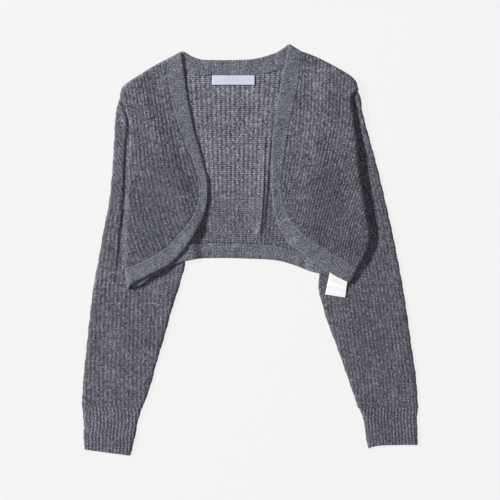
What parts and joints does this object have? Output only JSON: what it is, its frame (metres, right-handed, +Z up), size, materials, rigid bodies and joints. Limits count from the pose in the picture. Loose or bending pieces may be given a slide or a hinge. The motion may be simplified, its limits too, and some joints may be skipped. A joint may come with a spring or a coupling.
{
  "type": "bolero cardigan",
  "caption": "Cropped open cardigan in chunky ribbed knit, lying flat, with long ribbed sleeves turned down under the body and a plain knit band round its front edges.",
  "frame": {"origin": "on the surface the garment lies on, under the middle of its outline", "axes": "+Z up out of the surface, +Y from the cuffs to the neck, +X towards the wearer's left"},
  "size_m": [0.538, 0.66, 0.0138],
  "materials": {
    "ribbed_knit": "heathered charcoal grey wool-blend rib, matt",
    "plain_knit": "heathered charcoal grey wool-blend fine knit, matt",
    "label_cloth": "pale blank woven label, slightly smooth"
  },
  "bodies": {
    "root": {"back": "ribbed_knit", "front_right": "ribbed_knit", "front_left": "ribbed_knit", "sleeve_right": "ribbed_knit", "sleeve_left": "ribbed_knit", "cuff_right": "ribbed_knit", "cuff_left": "ribbed_knit", "neck_band": "plain_knit", "front_band_right": "plain_knit", "front_band_left": "plain_knit", "hem_band_back": "plain_knit", "neck_label": "label_cloth", "care_label": "label_cloth"}
  },
  "joints": []
}
